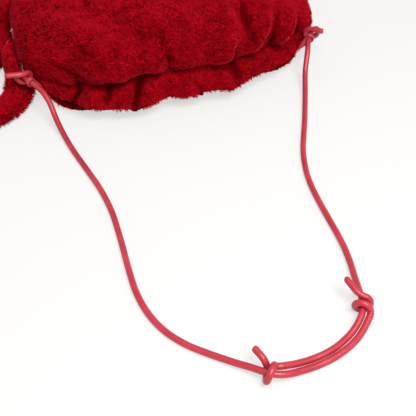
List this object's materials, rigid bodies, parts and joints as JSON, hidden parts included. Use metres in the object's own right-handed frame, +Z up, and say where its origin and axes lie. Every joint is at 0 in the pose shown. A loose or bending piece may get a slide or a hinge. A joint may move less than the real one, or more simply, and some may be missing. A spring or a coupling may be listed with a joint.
{
  "type": "clutch bag",
  "caption": "Gathered plush clutch pouch lying flat, with an elastic neck and short frill, a plush wrist loop, and a round leather cord strap that closes on itself with sliding knots.",
  "frame": {"origin": "middle of the flat part of the back panel, on the surface that the pouch lies on", "axes": "+X along the mouth, away from the wrist loop; +Y from the mouth to the bottom seam; +Z up from the back panel to the front panel"},
  "size_m": [0.3956, 0.5842, 0.0822],
  "materials": {
    "red_plush": "short deep pile, matt with a soft sheen",
    "red_lining_cloth": "smooth woven lining",
    "white_elastic": "braided elastic, matt",
    "red_leather": "round leather cord, glossy"
  },
  "bodies": {
    "root": {"plush_front_panel": "red_plush", "plush_back_panel": "red_plush", "pouch_lining": "red_lining_cloth", "mouth_elastic": "white_elastic", "wrist_loop": "red_plush", "side_tab_left": "red_leather", "side_tab_right": "red_leather", "strap_cord_left": "red_leather", "strap_cord_right": "red_leather", "anchor_knot_left": "red_leather", "anchor_knot_right": "red_leather", "sliding_knot_left": "red_leather", "sliding_knot_right": "red_leather"}
  },
  "joints": []
}
